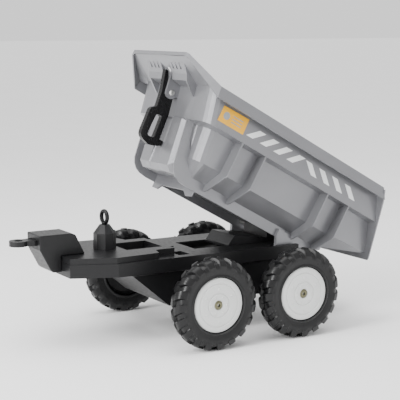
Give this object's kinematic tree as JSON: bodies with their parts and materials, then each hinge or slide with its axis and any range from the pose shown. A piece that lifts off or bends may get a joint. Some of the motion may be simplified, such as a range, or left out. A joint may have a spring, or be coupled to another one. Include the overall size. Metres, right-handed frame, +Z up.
{
  "type": "toy tipping trailer",
  "caption": "Toy tandem-axle tipping dumper trailer for a ride-on pedal tractor: hopper bed hinged at the rear, pull lever latch, ring post and drawbar with tow eye.",
  "frame": {"origin": "centre of the whole object's box at ground level, bed at full tip", "axes": "+Z up, -Y towards the tow eye, +X to the trailer's left side when looking forward along -Y"},
  "size_m": [0.4684, 0.8512, 0.6291],
  "materials": {
    "bed_shell": "silver grey moulded plastic, semi-gloss",
    "chassis": "black moulded plastic, satin",
    "tongue": "black moulded plastic, satin",
    "post": "black moulded plastic, satin",
    "lever": "black moulded plastic, satin",
    "tyre": "black blow-moulded plastic, matte",
    "hub": "white moulded plastic, semi-gloss",
    "steel": "zinc-plated steel"
  },
  "bodies": {
    "chassis": {"chassis_frame": "chassis", "drawbar_block": "chassis", "hinge_hump": "chassis", "tow_tongue": "tongue", "latch_post": "post", "front_axle": "steel", "rear_axle": "steel", "front_left_axle_sleeve": "chassis", "front_right_axle_sleeve": "chassis", "rear_left_axle_sleeve": "chassis", "rear_right_axle_sleeve": "chassis"},
    "bed": {"bed_tub": "bed_shell", "hinge_pin": "steel", "lever_bolt": "steel"},
    "lever": {"latch_lever": "lever"},
    "front_left_wheel": {"front_left_tyre": "tyre", "front_left_hub": "hub", "front_left_axle_cap": "steel"},
    "front_right_wheel": {"front_right_tyre": "tyre", "front_right_hub": "hub", "front_right_axle_cap": "steel"},
    "rear_left_wheel": {"rear_left_tyre": "tyre", "rear_left_hub": "hub", "rear_left_axle_cap": "steel"},
    "rear_right_wheel": {"rear_right_tyre": "tyre", "rear_right_hub": "hub", "rear_right_axle_cap": "steel"}
  },
  "joints": [
    {"name": "bed_hinge", "type": "hinge", "parent": "chassis", "child": "bed", "pos_m": [0, 0.2074, 0.212], "axis": [-1, 0, 0], "range_deg": [-29, 0]},
    {"name": "lever_hinge", "type": "hinge", "parent": "bed", "child": "lever", "pos_m": [0, -0.04243, 0.53685], "axis": [-1, 0, 0], "range_deg": [0, 40]},
    {"name": "front_left_wheel_spin", "type": "hinge", "parent": "chassis", "child": "front_left_wheel", "pos_m": [0.2097, -0.05035, 0.1], "axis": [1, 0, 0], "continuous": true},
    {"name": "front_right_wheel_spin", "type": "hinge", "parent": "chassis", "child": "front_right_wheel", "pos_m": [-0.2097, -0.05035, 0.1], "axis": [1, 0, 0], "continuous": true},
    {"name": "rear_left_wheel_spin", "type": "hinge", "parent": "chassis", "child": "rear_left_wheel", "pos_m": [0.2097, 0.16915, 0.1], "axis": [1, 0, 0], "continuous": true},
    {"name": "rear_right_wheel_spin", "type": "hinge", "parent": "chassis", "child": "rear_right_wheel", "pos_m": [-0.2097, 0.16915, 0.1], "axis": [1, 0, 0], "continuous": true}
  ]
}
